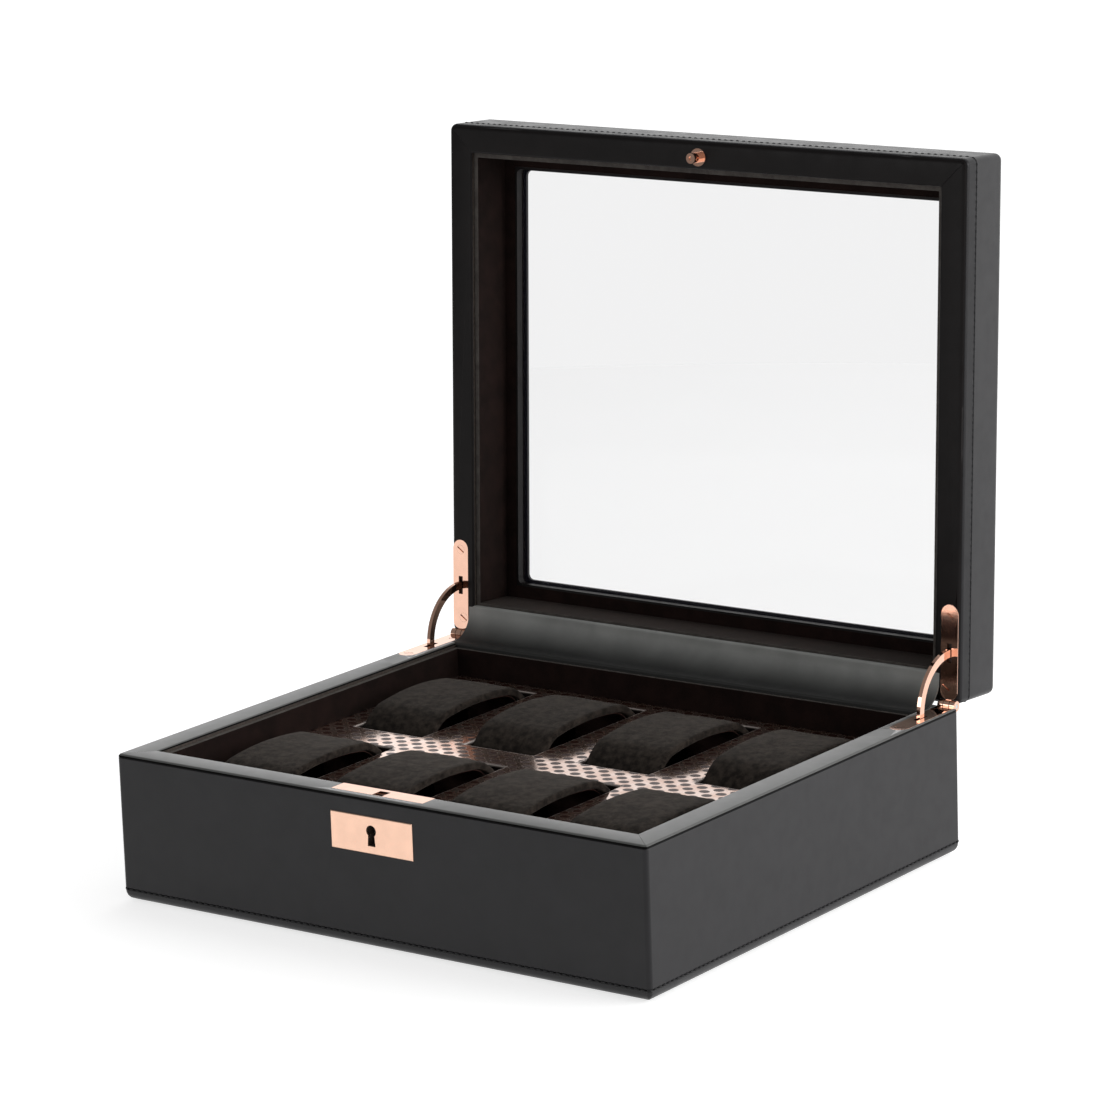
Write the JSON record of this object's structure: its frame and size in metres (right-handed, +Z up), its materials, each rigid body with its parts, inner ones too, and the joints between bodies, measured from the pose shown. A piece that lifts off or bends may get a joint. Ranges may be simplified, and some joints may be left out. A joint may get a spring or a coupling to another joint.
{
  "type": "watch box",
  "caption": "Leather-covered watch box with a glazed lid on stay hinges, a divided tray of lift-out watch cuffs and a front lock.",
  "frame": {"origin": "centre of the base's underside, on the surface it stands on", "axes": "+X to the right, +Y to the hinge side, +Z up; the lid stands open at the back"},
  "size_m": [0.26, 0.2665, 0.2863],
  "materials": {
    "black_leather": "fine-grained satin leather with a soft sheen",
    "board": "plain board, hidden under the leather",
    "brown_suede": "short-napped dark brown suede lining",
    "base_felt": "black felt",
    "tray_foil": "embossed metallic leather with a lattice of small dark ovals",
    "cuff_suede": "matt charcoal suede",
    "cuff_core": "matt dark plastic",
    "rose_gold": "polished rose gold plating",
    "steel": "plain steel",
    "window_glass": "clear glass"
  },
  "bodies": {
    "base": {"base_wall_front": "board", "base_wall_back": "board", "base_wall_left": "board", "base_wall_right": "board", "base_bottom_panel": "board", "base_underside_felt": "base_felt", "base_leather_sides": "black_leather", "base_leather_hem": "black_leather", "base_rim_facing": "black_leather", "base_liner_panels": "brown_suede", "base_floor_liner": "brown_suede", "tray_border": "brown_suede", "tray_divider_long": "brown_suede", "tray_dividers_cross": "brown_suede", "tray_top_panel": "tray_foil", "hinge_base_leaf_left": "rose_gold", "hinge_base_leaf_right": "rose_gold", "hinge_pin_left": "steel", "hinge_pin_right": "steel", "base_hinge_screws": "rose_gold", "lock_case": "steel", "lock_top_plate": "rose_gold", "lock_escutcheon": "rose_gold"},
    "lid": {"lid_wall_front": "board", "lid_wall_back": "board", "lid_wall_left": "board", "lid_wall_right": "board", "lid_top_frame": "board", "lid_inner_frame": "brown_suede", "lid_window_edging": "black_leather", "lid_leather_cover": "black_leather", "lid_leather_band": "black_leather", "lid_rim_facing": "black_leather", "lid_glass": "window_glass", "lid_liner_panels": "brown_suede", "hinge_lid_leaf_left": "rose_gold", "hinge_lid_leaf_right": "rose_gold", "lid_hinge_screws": "rose_gold", "lock_stud": "rose_gold", "hinge_gusset": "black_leather"},
    "lock_bolt": {"lock_bolt": "steel"},
    "stay_arm_left": {"stay_arm_left": "rose_gold"},
    "stay_arm_right": {"stay_arm_right": "rose_gold"},
    "cuff_1": {"cuff_1_cushion": "cuff_suede", "cuff_1_core": "cuff_core"},
    "cuff_2": {"cuff_2_cushion": "cuff_suede", "cuff_2_core": "cuff_core"},
    "cuff_3": {"cuff_3_cushion": "cuff_suede", "cuff_3_core": "cuff_core"},
    "cuff_4": {"cuff_4_cushion": "cuff_suede", "cuff_4_core": "cuff_core"},
    "cuff_5": {"cuff_5_cushion": "cuff_suede", "cuff_5_core": "cuff_core"},
    "cuff_6": {"cuff_6_cushion": "cuff_suede", "cuff_6_core": "cuff_core"},
    "cuff_7": {"cuff_7_cushion": "cuff_suede", "cuff_7_core": "cuff_core"},
    "cuff_8": {"cuff_8_cushion": "cuff_suede", "cuff_8_core": "cuff_core"}
  },
  "joints": [
    {"name": "lid_hinge", "type": "hinge", "parent": "base", "child": "lid", "pos_m": [0, 0.1124, 0.0622], "axis": [-1, 0, 0], "range_deg": [-93, 0], "deforming": ["hinge_gusset"]},
    {"name": "stay_left_hinge", "type": "hinge", "parent": "base", "child": "stay_arm_left", "pos_m": [-0.125, 0.1124, 0.0622], "axis": [-1, 0, 0], "range_deg": [-46.5, 0]},
    {"name": "stay_right_hinge", "type": "hinge", "parent": "base", "child": "stay_arm_right", "pos_m": [0.125, 0.1124, 0.0622], "axis": [-1, 0, 0], "range_deg": [-46.5, 0]},
    {"name": "lock_bolt_slide", "type": "slide", "parent": "base", "child": "lock_bolt", "axis": [-1, 0, 0], "range_m": [0, 0.0035]},
    {"name": "cuff_1_lift", "type": "slide", "parent": "base", "child": "cuff_1", "axis": [0, 0, 1], "range_m": [0, 0.06]},
    {"name": "cuff_2_lift", "type": "slide", "parent": "base", "child": "cuff_2", "axis": [0, 0, 1], "range_m": [0, 0.06]},
    {"name": "cuff_3_lift", "type": "slide", "parent": "base", "child": "cuff_3", "axis": [0, 0, 1], "range_m": [0, 0.06]},
    {"name": "cuff_4_lift", "type": "slide", "parent": "base", "child": "cuff_4", "axis": [0, 0, 1], "range_m": [0, 0.06]},
    {"name": "cuff_5_lift", "type": "slide", "parent": "base", "child": "cuff_5", "axis": [0, 0, 1], "range_m": [0, 0.06]},
    {"name": "cuff_6_lift", "type": "slide", "parent": "base", "child": "cuff_6", "axis": [0, 0, 1], "range_m": [0, 0.06]},
    {"name": "cuff_7_lift", "type": "slide", "parent": "base", "child": "cuff_7", "axis": [0, 0, 1], "range_m": [0, 0.06]},
    {"name": "cuff_8_lift", "type": "slide", "parent": "base", "child": "cuff_8", "axis": [0, 0, 1], "range_m": [0, 0.06]}
  ],
  "couplings": [
    {"joint": "stay_left_hinge", "follows": "lid_hinge", "ratio": 0.5},
    {"joint": "stay_right_hinge", "follows": "lid_hinge", "ratio": 0.5}
  ]
}
